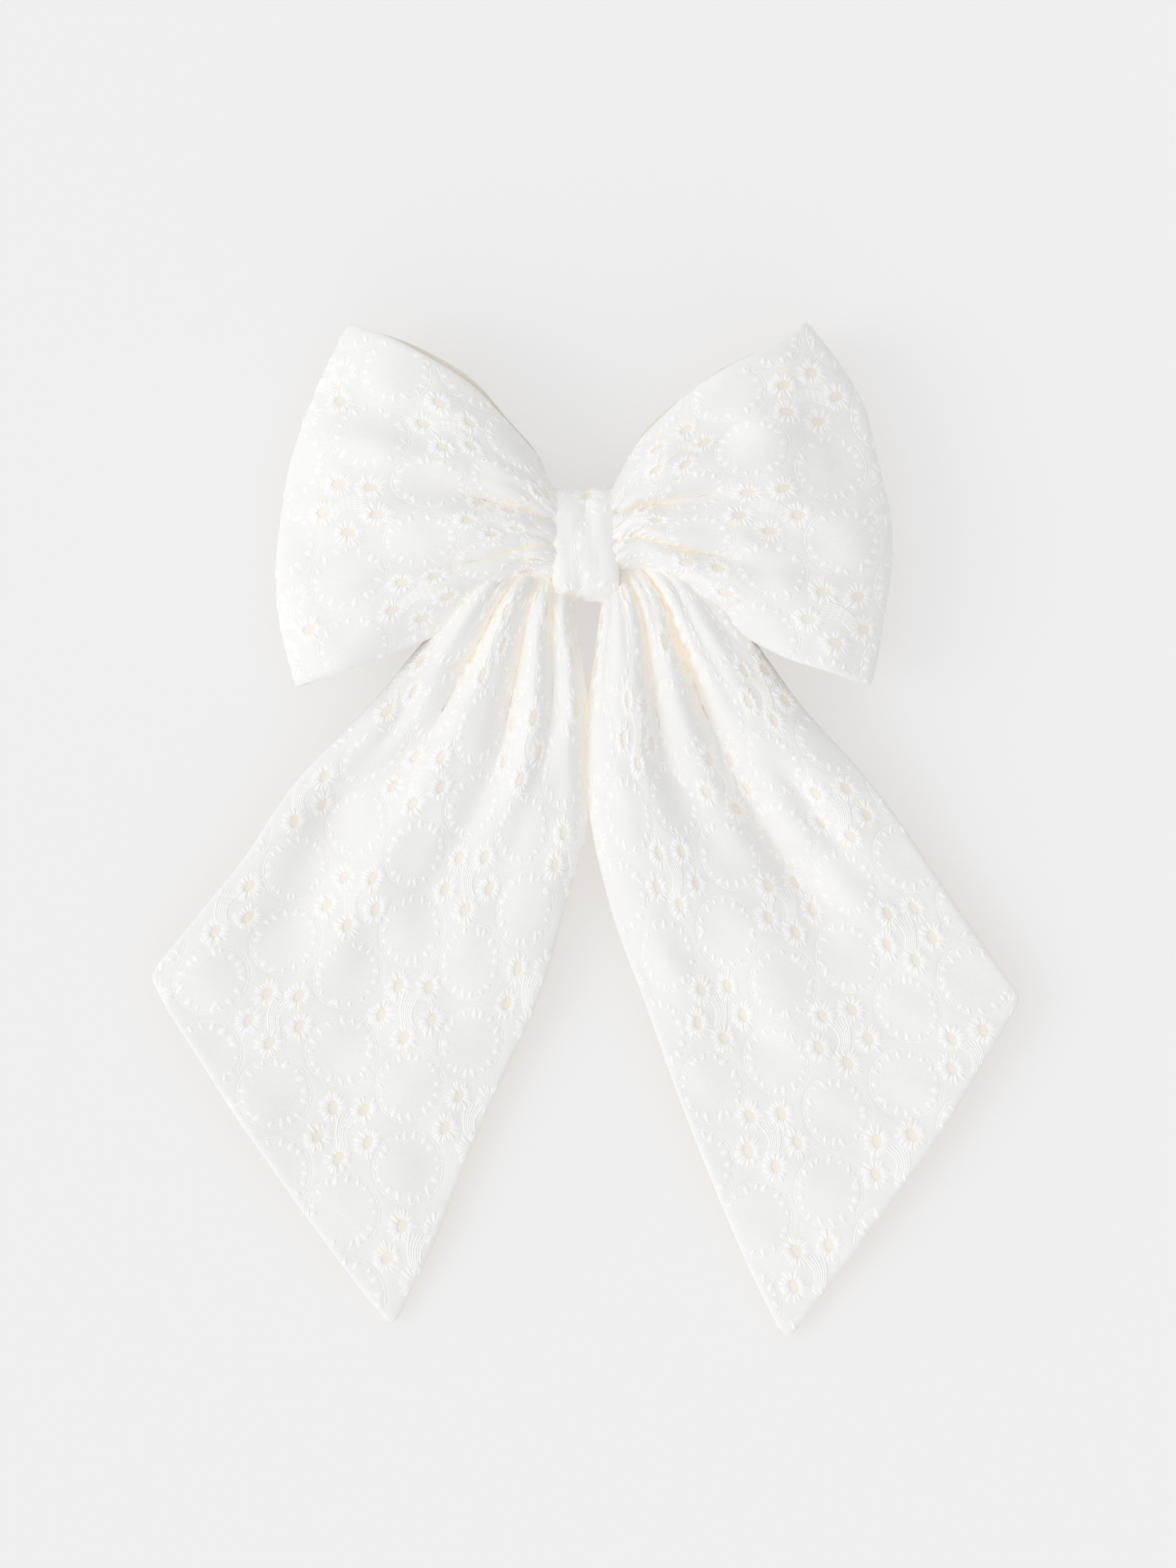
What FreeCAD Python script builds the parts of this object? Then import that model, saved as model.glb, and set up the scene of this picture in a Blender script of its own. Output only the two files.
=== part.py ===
import FreeCAD, Part
import os

# Hair bow in eyelet cotton on a steel spring barrette, in millimetres.
#
# Frame: +X to the right as seen from the front, +Y towards the wearer's hair, +Z up, the tails hanging down.
# The origin is the centre of the closed arm's flat back, straight behind the knot.
# Front outlines are drawn in the XZ plane and given depth along Y. The depths below are measured from the
# line where the bow's back meets the barrette, and save() moves each finished node to the frame's origin.

V = FreeCAD.Vector

# ---- Driving dimensions -------------------------------------------------------------------
CLEAR = 0.1                 # gap between pieces that only lie against each other
FACE_THICK = 0.6            # eyelet cotton with its embroidery
LINING_THICK = 0.5          # plain cotton behind it

# Bow band: one doubled strip folded into a left and a right loop.
LOOP_LEFT_REACH = 67.4
LOOP_RIGHT_REACH = 68.1
LOOP_TOP = 49.0
WAIST_TOP = 9.4
WAIST_SPLIT = -4.0          # the band's waist lies above this height and the tails' waist below
LOOP_PUFF = 14.5            # how far the loops stand forward
LOOP_BACK = 2.0             # how far they reach behind the waist's back

# Knot wrap: a folded strip carried round the waist and the barrette.
KNOT_WIDTH = 14.8
KNOT_HALF_HEIGHT = 12.2
KNOT_FRONT = -9.4
KNOT_BACK = 4.6
WRAP_THICK = 1.2

# Tails: two lined, flared strips that swing from a flex line under the loops.
TAIL_FLEX_Z = -30.0
TAIL_FLEX_Y = 0.6
TAIL_LEAN = 3.9             # degrees, the tails lean back to the hair
TAIL_AIR = 0.9              # gap between a tail's face and its lining
GATHER_GAP = 2.0            # between the gathered middle and a swinging tail
SEAM_INSET = 1.4
SEAM_RADIUS = 0.3

# Threads.
THREAD_RADIUS = 0.25
THREAD_TURNS = 5
THREAD_PITCH = 0.9
STITCH_COUNT = 6
STITCH_PITCH = 2.0
STITCH_LENGTH = 2.6
STITCH_RADIUS = 0.22
STITCH_GAP = 0.05

# Barrette, lying along X behind the knot.
BASE_FRONT = 1.6
SHEET = 0.7                 # steel sheet of the base and the arm
BASE_HALF_WIDTH = 4.0
BASE_ARCH_HALF = 24.0
BASE_ARCH_RISE = 5.0
BASE_HALF_LENGTH = 30.5
BASE_CORNER = 2.2
TAB_BACK = BASE_FRONT + BASE_ARCH_RISE + SHEET
SEW_HOLE_X = 20.5
SEW_HOLE_RADIUS = 0.8
PIN_X = -28.2
PIN_Y = 10.4
PIN_RADIUS = 0.6
PIN_HEAD_RADIUS = 1.1
EAR_RADIUS = 1.6
EAR_THICK = 0.6
ARM_EAR_RADIUS = 1.5
ARM_INNER = 12.0
ARM_BACK = ARM_INNER + SHEET
ARM_HALF_WIDTH = 2.6
RUNNING = 0.04              # radial clearance of the arm on its pin
CATCH_X = 28.0
WINDOW_HALF_LENGTH = 2.1
WINDOW_HALF_WIDTH = 2.9
FRAME_BAR = 1.0
FRAME_DROP = 1.3            # the arm's end steps towards the base by this much
FRAME_CORNER = 1.2
WING_HALF_LENGTH = 1.6
WING_THICK = 0.5
WING_Z = 1.9
WING_TIP = 12.4
HOOK_REACH = 2.84
BAR_THICK = 0.35
BAR_HALF_WIDTH = 2.2
BAR_HALF_LENGTH = 24.8
BAR_RISE = 1.6
BAR_TRAVEL = 0.4            # the bar's give towards the base when hair presses it
BAR_END_Y = TAB_BACK + BAR_TRAVEL + 0.02
KEEPER_X = 24.0
KEEPER_WIDTH = 1.2
KEEPER_THICK = 0.5

# ---- Front outlines, as (x, z) ---------------------------------------------------------------
LEFT_TOP_EDGE = [(-51.6, LOOP_TOP), (-42.5, 45.8), (-32.0, 39.0), (-21.5, 30.6), (-12.6, 20.4),
                 (-9.4, WAIST_TOP)]
LEFT_OUTER_EDGE = [(-63.4, -31.3), (-66.9, -14.8), (-LOOP_LEFT_REACH, 1.0), (-65.1, 16.5), (-59.3, 33.5),
                   (-51.6, LOOP_TOP)]
LEFT_LOWER_EDGE = [(-9.4, WAIST_SPLIT + 0.2), (-18.0, -12.6), (-28.7, -20.3), (-39.1, -24.9), (-51.0, -28.8),
                   (-63.4, -31.3)]
RIGHT_TOP_EDGE = [(9.4, WAIST_TOP), (11.6, 20.6), (16.4, 29.4), (25.6, 37.6), (37.3, 44.4),
                  (48.6, LOOP_TOP)]
RIGHT_OUTER_EDGE = [(48.6, LOOP_TOP), (55.0, 40.8), (62.5, 27.0), (66.9, 10.0), (LOOP_RIGHT_REACH, -2.6),
                    (66.4, -17.0), (63.4, -30.0)]
RIGHT_LOWER_EDGE = [(63.4, -30.0), (54.5, -28.4), (44.3, -24.6), (33.9, -19.4), (23.0, -11.8),
                    (9.4, WAIST_SPLIT + 0.2)]

LEFT_TAIL_OUTER = [(-40.6, -32.0), (-47.8, -39.2), (-63.4, -56.4), (-80.7, -76.4), (-94.6, -93.0)]
LEFT_TAIL_END = [(-95.4, -95.4), (-86.0, -112.0), (-60.0, -149.8), (-44.4, -172.0)]
LEFT_TAIL_INNER = [(-41.4, -172.2), (-32.0, -154.0), (-18.2, -119.0), (-5.2, -84.2), (-0.4, -68.0),
                   (0.9, -48.0), (0.6, -32.0)]
RIGHT_TAIL_OUTER = [(40.6, -32.0), (49.6, -40.8), (60.0, -51.4), (72.3, -67.2), (84.2, -83.6), (95.6, -98.6)]
RIGHT_TAIL_END = [(96.4, -101.0), (82.5, -118.9), (61.6, -151.2), (46.8, -174.6)]
RIGHT_TAIL_INNER = [(43.6, -174.6), (30.4, -145.0), (16.5, -110.3), (6.0, -79.0), (2.0, -62.0),
                    (1.5, -48.0), (1.6, -32.0)]

GATHER_FLOOR = TAIL_FLEX_Z + GATHER_GAP
SIDE = KNOT_WIDTH / 2 + 0.25            # the fans stay this far out beside the knot
UNDER = -KNOT_HALF_HEIGHT - 0.3         # and this far down below it
LEFT_FAN = [(-SIDE, WAIST_SPLIT - 0.6), (-18.0, -13.8), (-28.7, -21.5), (-38.6, GATHER_FLOOR + 1.6),
            (-38.6, GATHER_FLOOR), (0.6, GATHER_FLOOR), (-1.6, -18.0), (-3.2, UNDER), (-SIDE, UNDER)]
RIGHT_FAN = [(SIDE, WAIST_SPLIT - 0.6), (23.0, -13.0), (33.9, -20.6), (38.6, GATHER_FLOOR + 4.0),
             (38.6, GATHER_FLOOR), (1.7, GATHER_FLOOR), (3.0, -20.0), (5.6, UNDER), (SIDE, UNDER)]

# Depth profile of a loop seen from above, as (distance from the middle, y), and of the waist, as (y, z).
LOBE_PLAN = [(6.6, -3.6), (14.0, -9.4), (31.0, -LOOP_PUFF), (49.0, -13.2), (61.0, -9.4), (66.0, -3.8),
             (61.0, 1.2), (48.0, LOOP_BACK), (30.0, 1.4), (13.0, 0.0)]
WAIST_HALF_PROFILE = [(-7.2, 0.0), (-6.7, 5.6), (-4.6, WAIST_TOP), (-2.2, 9.0), (-0.9, 5.4), (-0.6, 0.0)]
WRAP_HALF_PROFILE = [(KNOT_FRONT, 0.0), (-8.8, 7.0), (-5.6, 11.6), (-3.2, KNOT_HALF_HEIGHT), (-0.6, 11.2),
                     (2.8, 7.6), (4.4, 4.0), (KNOT_BACK, 0.0)]


# ---- Helpers ---------------------------------------------------------------------------------
def save(name, shape):
    """Writes one node as STEP."""
    if not shape.isValid():
        raise ValueError(name + " is not a valid shape")
    shape.translate(V(0, -ARM_BACK, 0))
    shape.exportStep("parts/" + name + ".step")
    print(name, len(shape.Solids), "solids", round(shape.Volume, 1), "mm3")


def box(x0, x1, y0, y1, z0, z1):
    """Block between two corners."""
    return Part.makeBox(x1 - x0, y1 - y0, z1 - z0, V(x0, y0, z0))


def rod(radius, start, end):
    """Round bar from start to end."""
    axis = end - start
    return Part.makeCylinder(radius, axis.Length, start, axis)


def spline(points):
    """Open curve through points."""
    curve = Part.BSplineCurve()
    curve.interpolate(points)
    return curve.toShape()


def closed_curve(points):
    """Smooth closed curve through points."""
    curve = Part.BSplineCurve()
    curve.interpolate(Points=points, PeriodicFlag=True)
    return curve


def closed_wire(points):
    """Smooth closed wire through points."""
    return Part.Wire([closed_curve(points).toShape()])


def shifted_points(points, distance, normal, count=40):
    """Points along the closed curve through points, moved outward by distance (inward if negative)."""
    curve = closed_curve(points)
    first, last = curve.FirstParameter, curve.LastParameter
    centre = sum(points, V()) * (1.0 / len(points))
    moved = []
    for i in range(count):
        at = first + (last - first) * i / count
        tangent = curve.tangent(at)[0]
        side = tangent.cross(normal).normalize()
        moved.append((curve.value(at), side))
    turn = sum(1 if (point - centre).dot(side) > 0 else -1 for point, side in moved)
    sign = 1 if turn > 0 else -1
    return [point + side * (distance * sign) for point, side in moved]


def front_points(pairs):
    """(x, z) pairs as points of the XZ plane."""
    return [V(x, 0, z) for x, z in pairs]


def front_prism(edges, y0, y1):
    """Solid with the front outline made by edges, from depth y0 to y1."""
    wire = Part.Wire(Part.__sortEdges__(edges))
    face = Part.Face(wire)
    face.translate(V(0, y0, 0))
    return face.extrude(V(0, y1 - y0, 0))


def line(a, b):
    """Straight edge between two (x, z) pairs."""
    return Part.makeLine(V(a[0], 0, a[1]), V(b[0], 0, b[1]))


def polygon_prism(pairs, y0, y1):
    """Solid with a straight-sided front outline."""
    points = front_points(pairs)
    face = Part.Face(Part.makePolygon(points + points[:1]))
    face.translate(V(0, y0, 0))
    return face.extrude(V(0, y1 - y0, 0))


def sheet_strip(edges, half_width):
    """Solid whose outline in the XY plane is made by edges, centred on Z = 0."""
    face = Part.Face(Part.Wire(Part.__sortEdges__(edges)))
    face.translate(V(0, 0, -half_width))
    return face.extrude(V(0, 0, 2 * half_width))


def rounded_plan(x0, x1, half_width, radius):
    """Tall block with a rounded rectangle as its outline in the XZ plane."""
    block = box(x0, x1, -20, 20, -half_width, half_width)
    corners = [edge for edge in block.Edges if abs(edge.tangentAt(edge.FirstParameter).y) > 0.9]
    return block.makeFillet(radius, corners)


def arched_edges(half, y_end, y_middle, thick, tab=0.0):
    """Outline of a bowed strip of sheet, with a flat tab of that length at each end."""
    edges = []
    for shift in (0.0, thick):
        ends = [V(-half, y_end + shift, 0), V(half, y_end + shift, 0)]
        edges.append(Part.Arc(ends[0], V(0, y_middle + shift, 0), ends[1]).toShape())
        if tab:
            edges.append(Part.makeLine(ends[0] - V(tab, 0, 0), ends[0]))
            edges.append(Part.makeLine(ends[1], ends[1] + V(tab, 0, 0)))
    for side in (-1, 1):
        corner = V(side * (half + tab), y_end, 0)
        edges.append(Part.makeLine(corner, corner + V(0, thick, 0)))
    return edges


# ---- Fabric ----------------------------------------------------------------------------------
def band_outline(y0, y1):
    """Front outline of both loops and the waist between them."""
    edges = [
        spline(front_points(LEFT_OUTER_EDGE)),
        spline(front_points(LEFT_TOP_EDGE)),
        line(LEFT_TOP_EDGE[-1], RIGHT_TOP_EDGE[0]),
        spline(front_points(RIGHT_TOP_EDGE)),
        spline(front_points(RIGHT_OUTER_EDGE)),
        spline(front_points(RIGHT_LOWER_EDGE)),
        line(RIGHT_LOWER_EDGE[-1], LEFT_LOWER_EDGE[0]),
        spline(front_points(LEFT_LOWER_EDGE)),
    ]
    return front_prism(edges, y0, y1)


def lobe_prism(side, reach, inset):
    """Tall solid with the plan of one loop, shrunk by inset."""
    stretch = reach / 66.0
    plan = [V(side * x * stretch, y, 0) for x, y in LOBE_PLAN]
    if inset:
        plan = shifted_points(plan, -inset, V(0, 0, 1))
    face = Part.Face(closed_wire(plan))
    face.translate(V(0, 0, -60))
    return face.extrude(V(0, 0, 120))


def mirrored_profile(half):
    """Points of a closed profile in the YZ plane, from the (y, z) pairs of its upper half."""
    upper = [V(0, y, z) for y, z in half]
    lower = [V(0, p.y, -p.z) for p in reversed(upper[1:-1])]
    return upper + lower


def waist_prism(half_length, z0, z1):
    """The part of the gathered waist between two heights."""
    face = Part.Face(closed_wire(mirrored_profile(WAIST_HALF_PROFILE)))
    face.translate(V(-half_length, 0, 0))
    solid = face.extrude(V(2 * half_length, 0, 0))
    return solid.common(box(-60, 60, -20, 20, z0, z1))


def band_face():
    """Eyelet cotton of both loops, with the gathered waist."""
    outline = band_outline(-40, 40)
    loops = []
    for side, reach in ((-1, LOOP_LEFT_REACH), (1, LOOP_RIGHT_REACH)):
        shell = lobe_prism(side, reach, 0).cut(lobe_prism(side, reach, FACE_THICK))
        loops.append(shell.common(outline))
    waist = waist_prism(9.0, WAIST_SPLIT + CLEAR, WAIST_TOP)
    for side, reach in ((-1, LOOP_LEFT_REACH), (1, LOOP_RIGHT_REACH)):
        waist = waist.cut(lobe_prism(side, reach, FACE_THICK))
    return waist.fuse(loops[0]).fuse(loops[1]).removeSplitter()


def band_lining():
    """Plain cotton inside each loop."""
    outline = band_outline(-40, 40)
    solids = []
    for side, reach in ((-1, LOOP_LEFT_REACH), (1, LOOP_RIGHT_REACH)):
        start = FACE_THICK + CLEAR
        shell = lobe_prism(side, reach, start).cut(lobe_prism(side, reach, start + LINING_THICK))
        solids += shell.common(outline).Solids
    return Part.makeCompound(solids)


def tail_gather():
    """The pinched middle of the tail strip, with the top of each tail."""
    waist = waist_prism(9.0, -WAIST_TOP, WAIST_SPLIT - CLEAR)
    depth = (TAIL_FLEX_Y - 2.4, TAIL_FLEX_Y + 0.9)
    left = polygon_prism(LEFT_FAN, *depth)
    right = polygon_prism(RIGHT_FAN, *depth)
    return waist.fuse(left).fuse(right).removeSplitter()


def tail_edges(outer, end, inner):
    """Edges of a tail's front outline, with turned corners."""
    top = [(outer[0][0], TAIL_FLEX_Z), (inner[-1][0], TAIL_FLEX_Z)]
    return [
        line(top[0], outer[0]),
        spline(front_points(outer)),
        line(outer[-1], end[0]),
        spline(front_points(end)),
        line(end[-1], inner[0]),
        spline(front_points(inner)),
        line(inner[-1], top[1]),
        line(top[1], top[0]),
    ]


def lean_back(shape):
    """Tilts a tail piece about the flex line."""
    shape.rotate(V(0, TAIL_FLEX_Y, TAIL_FLEX_Z), V(1, 0, 0), TAIL_LEAN)
    return shape


def tail_panels(edges):
    """Face and lining of one tail."""
    half = TAIL_AIR / 2
    face = front_prism(edges, TAIL_FLEX_Y - half - FACE_THICK, TAIL_FLEX_Y - half)
    lining = front_prism(edges, TAIL_FLEX_Y + half, TAIL_FLEX_Y + half + LINING_THICK)
    return lean_back(face), lean_back(lining)


def tail_seam(outer, end, inner, side):
    """Sewing thread that joins a tail's face to its lining along the outer, end and inner edges."""
    corners = [outer[0], outer[-1], end[-1], inner[-1]]
    nudges = [(-side, 0), (-side, 0.2), (-side * 0.35, 1.2), (side, 0)]
    points = []
    for (x, z), (dx, dz) in zip(corners, nudges):
        points.append(V(x + dx * SEAM_INSET * 1.3, TAIL_FLEX_Y, z + dz * SEAM_INSET))
    runs = []
    for a, b in zip(points, points[1:]):
        runs.append(rod(SEAM_RADIUS, a, b))
    thread = runs[0]
    for run in runs[1:]:
        thread = thread.fuse(run)
    for point in points[1:-1]:
        thread = thread.fuse(Part.makeSphere(SEAM_RADIUS, point))
    return lean_back(thread)


def knot_wrap():
    """Folded strip that goes once round the waist and the barrette's base."""
    outside = mirrored_profile(WRAP_HALF_PROFILE)
    inside = shifted_points(outside, -WRAP_THICK, V(1, 0, 0))
    blocks = []
    for points in (outside, inside):
        face = Part.Face(closed_wire(points))
        face.translate(V(-KNOT_WIDTH / 2, 0, 0))
        blocks.append(face.extrude(V(KNOT_WIDTH, 0, 0)))
    return blocks[0].cut(blocks[1])


def gathering_thread():
    """Turns of thread that pinch the band and the tail strip together."""
    waist = mirrored_profile(WAIST_HALF_PROFILE)
    path = closed_wire(shifted_points(waist, THREAD_RADIUS + CLEAR, V(1, 0, 0)))
    edge = path.Edges[0]
    start, tangent = edge.valueAt(edge.FirstParameter), edge.tangentAt(edge.FirstParameter)
    ring = Part.Wire([Part.makeCircle(THREAD_RADIUS, start, tangent)])
    turns = []
    for i in range(THREAD_TURNS):
        turn = path.makePipeShell([ring], True, False)
        turn.translate(V((i - (THREAD_TURNS - 1) / 2) * THREAD_PITCH, 0, 0))
        turns.append(turn)
    return Part.makeCompound(turns)


def wrap_seam_stitches():
    """Whip stitches that close the wrap at the back."""
    stitches = []
    for i in range(STITCH_COUNT):
        x = (i - (STITCH_COUNT - 1) / 2) * STITCH_PITCH
        y = KNOT_BACK + STITCH_RADIUS + STITCH_GAP
        start = V(x - 0.4, y, -STITCH_LENGTH / 2)
        end = V(x + 0.4, y, STITCH_LENGTH / 2)
        stitch = rod(STITCH_RADIUS, start, end)
        for point in (start, end):
            stitch = stitch.fuse(Part.makeSphere(STITCH_RADIUS, point))
        stitches.append(stitch)
    return Part.makeCompound(stitches)


# ---- Barrette --------------------------------------------------------------------------------
def barrette_base():
    """Arched steel plate with hinge ears, two keepers for the tension bar and two sewing holes."""
    tab = BASE_HALF_LENGTH - BASE_ARCH_HALF
    end = BASE_FRONT + BASE_ARCH_RISE
    plate = sheet_strip(arched_edges(BASE_ARCH_HALF, end, BASE_FRONT, SHEET, tab), BASE_HALF_WIDTH)
    plate = plate.common(rounded_plan(-BASE_HALF_LENGTH, BASE_HALF_LENGTH, BASE_HALF_WIDTH, BASE_CORNER))
    for x in (-SEW_HOLE_X, SEW_HOLE_X):
        plate = plate.cut(rod(SEW_HOLE_RADIUS, V(x, 0, 0), V(x, 12, 0)))
    for side in (-1, 1):
        z = side * (BASE_HALF_WIDTH - EAR_THICK / 2)
        post = box(PIN_X - EAR_RADIUS, PIN_X + EAR_RADIUS, TAB_BACK - SHEET / 2, PIN_Y,
                   z - EAR_THICK / 2, z + EAR_THICK / 2)
        tip = rod(EAR_RADIUS, V(PIN_X, PIN_Y, z - EAR_THICK / 2), V(PIN_X, PIN_Y, z + EAR_THICK / 2))
        plate = plate.fuse(post).fuse(tip)
    plate = plate.cut(rod(PIN_RADIUS, V(PIN_X, PIN_Y, -9), V(PIN_X, PIN_Y, 9)))
    for x in (-KEEPER_X, KEEPER_X):
        plate = plate.fuse(bar_keeper(x))
    return plate.removeSplitter()


def bar_keeper(x):
    """Bridge lanced from the base, under which one end of the tension bar lies."""
    inner_z = BAR_HALF_WIDTH + 0.15
    roof = BAR_END_Y + BAR_THICK + 0.25
    block = box(x - KEEPER_WIDTH / 2, x + KEEPER_WIDTH / 2, TAB_BACK - SHEET / 2, roof + KEEPER_THICK,
                -inner_z - KEEPER_THICK, inner_z + KEEPER_THICK)
    tunnel = box(x - KEEPER_WIDTH, x + KEEPER_WIDTH, TAB_BACK - SHEET, roof, -inner_z, inner_z)
    return block.cut(tunnel)


def tension_bar():
    """Thin sprung strip, bowed towards the arm, that presses the hair."""
    edges = arched_edges(BAR_HALF_LENGTH, BAR_END_Y, BAR_END_Y + BAR_RISE, BAR_THICK)
    return sheet_strip(edges, BAR_HALF_WIDTH)


def hinge_pin():
    """Rivet through the base's ears and the arm's ears."""
    reach = BASE_HALF_WIDTH + 0.02
    pin = rod(PIN_RADIUS, V(PIN_X, PIN_Y, -reach), V(PIN_X, PIN_Y, reach))
    for side in (-1, 1):
        head = rod(PIN_HEAD_RADIUS, V(PIN_X, PIN_Y, side * reach), V(PIN_X, PIN_Y, side * (reach + 0.5)))
        pin = pin.fuse(head)
    return pin.removeSplitter()


def clasp_arm():
    """Flat arm with two hinge ears, stepped down at its free end to a window frame that the catch holds."""
    frame_end = CATCH_X + WINDOW_HALF_LENGTH + FRAME_BAR
    frame_start = CATCH_X - WINDOW_HALF_LENGTH - FRAME_BAR
    step = frame_start - 1.2
    ear_z = BASE_HALF_WIDTH - EAR_THICK - 0.15
    half_frame = WINDOW_HALF_WIDTH + FRAME_BAR
    strip = box(PIN_X, step + 0.5, ARM_INNER, ARM_BACK, -ARM_HALF_WIDTH, ARM_HALF_WIDTH)
    shoulder = box(PIN_X, PIN_X + 3.2, ARM_INNER, ARM_BACK, -ear_z, ear_z)
    frame_back = ARM_BACK - FRAME_DROP
    frame = box(frame_start, frame_end, frame_back - SHEET, frame_back, -half_frame, half_frame)
    window = box(CATCH_X - WINDOW_HALF_LENGTH, CATCH_X + WINDOW_HALF_LENGTH, 0, 20,
                 -WINDOW_HALF_WIDTH, WINDOW_HALF_WIDTH)
    profile = [V(step, ARM_INNER, 0), V(step, ARM_BACK, 0), V(step + 0.5, ARM_BACK, 0),
               V(frame_start + 0.6, frame_back, 0), V(frame_start + 0.6, frame_back - SHEET, 0),
               V(frame_start - 0.2, frame_back - SHEET, 0), V(step, ARM_INNER, 0)]
    face = Part.Face(Part.makePolygon(profile))
    face.translate(V(0, 0, -ARM_HALF_WIDTH))
    joggle = face.extrude(V(0, 0, 2 * ARM_HALF_WIDTH))
    arm = strip.fuse(shoulder).fuse(joggle).fuse(frame).cut(window)
    arm = arm.common(rounded_plan(PIN_X - 5, frame_end, half_frame, FRAME_CORNER))
    for side in (-1, 1):
        z0, z1 = sorted((side * ear_z, side * (ear_z - EAR_THICK)))
        disc = rod(ARM_EAR_RADIUS, V(PIN_X, PIN_Y, z0), V(PIN_X, PIN_Y, z1))
        post = box(PIN_X, PIN_X + ARM_EAR_RADIUS, PIN_Y, ARM_INNER + SHEET / 2, z0, z1)
        arm = arm.fuse(disc).fuse(post)
    bore = rod(PIN_RADIUS + RUNNING, V(PIN_X, PIN_Y, -9), V(PIN_X, PIN_Y, 9))
    return arm.cut(bore).removeSplitter()


def catch_foot():
    """Plate riveted to the base's end, between the two catch wings."""
    half = WING_Z - WING_THICK / 2 - 0.12
    plate = box(CATCH_X - 2.0, CATCH_X + 2.2, TAB_BACK, TAB_BACK + 0.5, -half, half)
    rivet = rod(0.9, V(CATCH_X, TAB_BACK + 0.5, 0), V(CATCH_X, TAB_BACK + 0.9, 0))
    return plate.fuse(rivet).removeSplitter()


def catch_wing(side):
    """Upright spring wing with a hook that holds the arm's frame; it pivots at its bend."""
    bend_y = TAB_BACK + 0.02 + WING_THICK / 2
    x0, x1 = CATCH_X - WING_HALF_LENGTH, CATCH_X + WING_HALF_LENGTH
    z = side * WING_Z
    inner, outer = z - side * WING_THICK / 2, z + side * WING_THICK / 2
    hook_y = ARM_BACK - FRAME_DROP + 0.1
    low, high = sorted((inner, outer))
    wall = box(x0, x1, bend_y, WING_TIP, low, high)
    bend = rod(WING_THICK / 2, V(x0, bend_y, z), V(x1, bend_y, z))
    corners = [V(x0, hook_y, outer), V(x0, hook_y, side * HOOK_REACH), V(x0, WING_TIP, outer)]
    lip = Part.Face(Part.makePolygon(corners + corners[:1])).extrude(V(x1 - x0, 0, 0))
    return wall.fuse(bend).fuse(lip).removeSplitter()


def main():
    """Builds every node."""
    os.makedirs("parts", exist_ok=True)
    save("band_face", band_face())
    save("band_lining", band_lining())
    save("tail_gather", tail_gather())
    for name, side, outline in (
        ("left", -1, (LEFT_TAIL_OUTER, LEFT_TAIL_END, LEFT_TAIL_INNER)),
        ("right", 1, (RIGHT_TAIL_OUTER, RIGHT_TAIL_END, RIGHT_TAIL_INNER)),
    ):
        face, lining = tail_panels(tail_edges(*outline))
        save(name + "_tail_face", face)
        save(name + "_tail_lining", lining)
        save(name + "_tail_seam_thread", tail_seam(*outline, side))
    save("knot_wrap", knot_wrap())
    save("gathering_thread", gathering_thread())
    save("wrap_seam_stitches", wrap_seam_stitches())
    save("barrette_base", barrette_base())
    save("tension_bar", tension_bar())
    save("hinge_pin", hinge_pin())
    save("clasp_arm", clasp_arm())
    save("catch_foot", catch_foot())
    save("upper_catch_wing", catch_wing(1))
    save("lower_catch_wing", catch_wing(-1))


main()
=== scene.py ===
import itertools
import math

import bpy
import numpy as np
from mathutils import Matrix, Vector


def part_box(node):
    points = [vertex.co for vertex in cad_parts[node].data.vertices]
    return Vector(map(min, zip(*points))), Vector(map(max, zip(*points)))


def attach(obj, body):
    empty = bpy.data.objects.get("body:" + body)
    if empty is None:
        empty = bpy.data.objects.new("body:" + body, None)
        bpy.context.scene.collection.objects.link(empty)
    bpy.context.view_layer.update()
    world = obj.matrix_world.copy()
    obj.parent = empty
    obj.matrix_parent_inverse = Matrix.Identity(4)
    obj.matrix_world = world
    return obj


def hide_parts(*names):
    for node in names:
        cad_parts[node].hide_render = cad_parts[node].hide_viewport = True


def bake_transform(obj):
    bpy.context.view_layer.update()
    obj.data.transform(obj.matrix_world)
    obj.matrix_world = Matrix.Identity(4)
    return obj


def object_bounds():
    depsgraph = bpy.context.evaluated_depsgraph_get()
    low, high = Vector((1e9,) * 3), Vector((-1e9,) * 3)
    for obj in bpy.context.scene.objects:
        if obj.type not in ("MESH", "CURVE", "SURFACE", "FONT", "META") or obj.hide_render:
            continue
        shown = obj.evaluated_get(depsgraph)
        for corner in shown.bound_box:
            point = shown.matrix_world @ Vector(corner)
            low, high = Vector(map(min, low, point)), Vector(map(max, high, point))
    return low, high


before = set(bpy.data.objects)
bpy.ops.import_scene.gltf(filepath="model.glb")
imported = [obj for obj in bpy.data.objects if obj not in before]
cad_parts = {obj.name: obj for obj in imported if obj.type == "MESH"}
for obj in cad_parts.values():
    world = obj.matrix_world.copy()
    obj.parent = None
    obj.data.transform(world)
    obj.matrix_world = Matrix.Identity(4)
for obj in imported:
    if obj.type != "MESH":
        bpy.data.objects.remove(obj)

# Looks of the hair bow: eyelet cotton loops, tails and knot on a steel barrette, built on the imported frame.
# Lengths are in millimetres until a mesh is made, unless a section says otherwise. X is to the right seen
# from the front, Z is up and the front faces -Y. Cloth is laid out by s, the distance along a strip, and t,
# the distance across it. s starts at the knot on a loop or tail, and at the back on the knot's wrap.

MM = 0.001
cad_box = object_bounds()


def node_box(name):
    """Lowest and highest corner of a CAD node, in millimetres."""
    low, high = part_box(name)
    return np.array(low) / MM, np.array(high) / MM


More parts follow.
